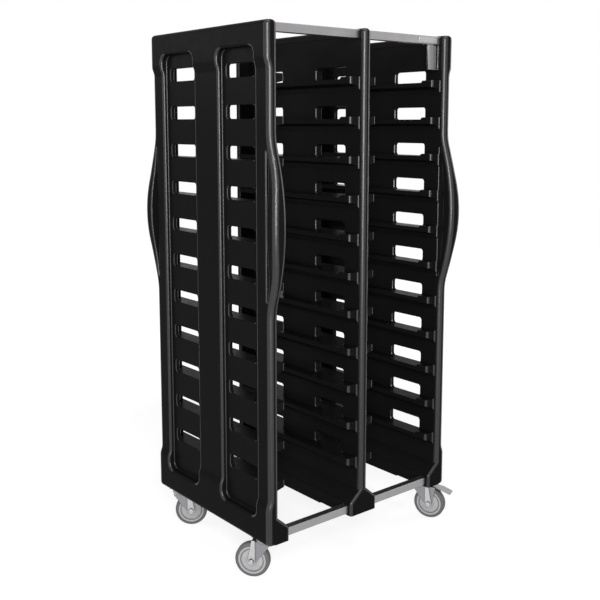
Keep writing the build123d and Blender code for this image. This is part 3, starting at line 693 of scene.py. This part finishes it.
class TROLLEY_OT_castors(bpy.types.Operator):
    """Dress the castors' plates, races, forks, pins and bolts"""

    bl_idname = "trolley.castors"
    bl_label = "Castors"

    def execute(self, context):
        metal = context.scene.trolley_metal
        steel = plated_steel(metal)
        # Painted shade on the forks and painted light on the bands and axle bolts: darker and lighter copies of
        # one zinc.
        dull = shaded_zinc_steel(metal)
        rubbed = lit_zinc_steel(metal)
        balls = ball_metal(metal)
        dress("castor_bolts", steel, metal.edge_round)
        for castor in CASTORS:
            for part, finish in (
                ("mounting_plate", steel),
                ("swivel_race", steel),
                ("fork", dull),
                ("axle_bolt", rubbed),
            ):
                dress(f"{castor}_{part}", finish, metal.edge_round)
            fork_bands(castor, metal, rubbed)
            dress(f"{castor}_king_pin", steel)
            dress(f"{castor}_swivel_balls", balls)
            dress(f"{castor}_axle_bush", balls)
        return {"FINISHED"}


class TROLLEY_OT_wheels(bpy.types.Operator):
    """Turn the wheels' cores and dress their treads"""

    bl_idname = "trolley.wheels"
    bl_label = "Wheels"

    def execute(self, context):
        wheels = context.scene.trolley_wheels
        core = wheel_plastic(wheels)
        rubber = tread_rubber(wheels)
        for castor in CASTORS:
            wheel_core(castor, wheels, core)
            dress(f"{castor}_wheel_tread", rubber)
        return {"FINISHED"}


class TROLLEY_OT_brakes(bpy.types.Operator):
    """Dress the foot brakes' pedals, shoes and pins"""

    bl_idname = "trolley.brakes"
    bl_label = "Foot brakes"

    def execute(self, context):
        metal = context.scene.trolley_metal
        steel = plated_steel(metal)
        rubber = shoe_rubber(context.scene.trolley_wheels)
        for castor in BRAKED:
            dress(f"{castor}_brake_pedal", steel, metal.edge_round)
            dress(f"{castor}_brake_shoe", rubber, metal.edge_round)
            dress(f"{castor}_brake_pin", steel)
        return {"FINISHED"}


def seen_directly(tree):
    """1 for rays from the camera, from a mirror-like surface or through a clear one."""
    path = tree.nodes.new("ShaderNodeLightPath")
    total = path.outputs["Is Camera Ray"]
    for ray in ("Is Glossy Ray", "Is Transmission Ray"):
        add = tree.nodes.new("ShaderNodeMath")
        add.operation = "ADD"
        add.use_clamp = True
        tree.links.new(total, add.inputs[0])
        tree.links.new(path.outputs[ray], add.inputs[1])
        total = add.outputs["Value"]
    return total


def lay_floor(studio):
    """A pale floor that looks white and still takes the trolley's shadow."""
    mesh_maker = bmesh.new()
    bmesh.ops.create_grid(mesh_maker, x_segments=1, y_segments=1, size=studio.floor_size / 2)
    material, shader = start_finish("pale_floor", metallic=0.0, gloss=0.0)
    shader.inputs["Base Color"].default_value = (*studio.floor_colour, 1.0)
    shader.inputs["Roughness"].default_value = 1.0
    shader.inputs["Emission Color"].default_value = (1.0, 1.0, 1.0, 1.0)
    tree = material.node_tree
    place = tree.nodes.new("ShaderNodeTexCoord")
    away = tree.nodes.new("ShaderNodeVectorMath")
    away.operation = "LENGTH"
    tree.links.new(place.outputs["Object"], away.inputs[0])
    reach = studio.shadow_reach
    white = spread(
        material, away.outputs["Value"], low=studio.floor_glow, high=1.0, start=reach, end=2 * reach
    )
    glow = product(material, white, seen_directly(tree))
    tree.links.new(glow, shader.inputs["Emission Strength"])
    new_piece("floor", mesh_maker, material)


def light_sky(studio):
    """An even soft sky that looks white where it is seen directly."""
    world = bpy.data.worlds.new("studio")
    world.use_nodes = True
    tree = world.node_tree
    soft = tree.nodes["Background"]
    soft.inputs["Color"].default_value = (1.0, 1.0, 1.0, 1.0)
    soft.inputs["Strength"].default_value = studio.sky
    white = tree.nodes.new("ShaderNodeBackground")
    white.inputs["Color"].default_value = (1.0, 1.0, 1.0, 1.0)
    white.inputs["Strength"].default_value = 1.0
    mix = tree.nodes.new("ShaderNodeMixShader")
    tree.links.new(seen_directly(tree), mix.inputs["Fac"])
    tree.links.new(soft.outputs["Background"], mix.inputs[1])
    tree.links.new(white.outputs["Background"], mix.inputs[2])
    tree.links.new(mix.outputs["Shader"], tree.nodes["World Output"].inputs["Surface"])
    bpy.context.scene.world = world


def hang_lamp(name, power, size, place, target):
    """A soft lamp of one width and height, turned to a target."""
    data = bpy.data.lights.new(name, "AREA")
    data.shape = "RECTANGLE"
    data.size, data.size_y = size
    data.energy = power
    lamp = bpy.data.objects.new(name, data)
    lamp.location = place
    lamp.rotation_euler = (Vector(target) - Vector(place)).to_track_quat("-Z", "Y").to_euler()
    bpy.context.scene.collection.objects.link(lamp)


def hang_lamps(studio):
    """Tall soft boxes at the front left, at the right and at the back left, and a wide lamp overhead."""
    high = cad_box[1][2]
    middle = (0.0, 0.0, high * 0.6)
    for name, power, size, place in (
        ("front_box", studio.left_power, (1.2, 2.8), (-2.5, -3.2, high)),
        ("right_box", studio.right_power, (0.9, 2.4), (3.0, -1.3, high)),
        ("back_box", studio.back_power, (1.6, 1.0), (-2.4, 2.4, high * 1.25)),
        ("overhead", studio.top_power, (2.0, 2.0), (0.2, -0.6, high + 1.8)),
    ):
        hang_lamp(name, power, size, place, target=middle)


def stand_camera(studio):
    """The camera at the photograph's viewing angle."""
    data = bpy.data.cameras.new("front_left")
    data.lens = studio.lens
    data.shift_y = studio.lens_shift
    camera = bpy.data.objects.new("front_left", data)
    camera.location = studio.camera_place
    camera.rotation_euler = (math.pi / 2 - studio.camera_dip, 0.0, -studio.camera_turn)
    bpy.context.scene.collection.objects.link(camera)
    bpy.context.scene.camera = camera


class TROLLEY_OT_studio(bpy.types.Operator):
    """Lay the floor, hang the lamps and stand the camera"""

    bl_idname = "trolley.studio"
    bl_label = "Studio"

    def execute(self, context):
        studio = context.scene.trolley_studio
        lay_floor(studio)
        light_sky(studio)
        hang_lamps(studio)
        stand_camera(studio)
        context.scene.view_settings.view_transform = "Standard"
        return {"FINISHED"}


class TROLLEY_PT_sidebar(bpy.types.Panel):
    """The trolley's pieces and their settings"""

    bl_idname = "TROLLEY_PT_sidebar"
    bl_label = "Tray trolley"
    bl_space_type = "VIEW_3D"
    bl_region_type = "UI"
    bl_category = "Trolley"

    def draw(self, context):
        for group in SETTINGS:
            box = self.layout.box()
            settings = getattr(context.scene, group)
            for name in settings.bl_rna.properties.keys():
                if name not in ("rna_type", "name"):
                    box.prop(settings, name)
        for operator in OPERATORS:
            self.layout.operator(operator.bl_idname)


SETTINGS = {
    "trolley_plastic": TrolleyPlastic,
    "trolley_metal": TrolleyMetal,
    "trolley_wheels": TrolleyWheels,
    "trolley_studio": TrolleyStudio,
}
OPERATORS = (
    TROLLEY_OT_panels,
    TROLLEY_OT_rails,
    TROLLEY_OT_front_plates,
    TROLLEY_OT_castors,
    TROLLEY_OT_wheels,
    TROLLEY_OT_brakes,
    TROLLEY_OT_studio,
)
CLASSES = (*SETTINGS.values(), *OPERATORS, TROLLEY_PT_sidebar)


def register():
    """Adds the trolley's classes and settings."""
    for item in CLASSES:
        bpy.utils.register_class(item)
    for group, settings in SETTINGS.items():
        setattr(bpy.types.Scene, group, PointerProperty(type=settings))


def unregister():
    """Takes the trolley's classes and settings away."""
    for group in SETTINGS:
        delattr(bpy.types.Scene, group)
    for item in reversed(CLASSES):
        bpy.utils.unregister_class(item)


def main():
    """Builds every piece and the studio."""
    register()
    bpy.ops.trolley.panels()
    bpy.ops.trolley.rails()
    bpy.ops.trolley.front_plates()
    bpy.ops.trolley.castors()
    bpy.ops.trolley.wheels()
    bpy.ops.trolley.brakes()
    bpy.ops.trolley.studio()


if __name__ == "__main__":
    main()
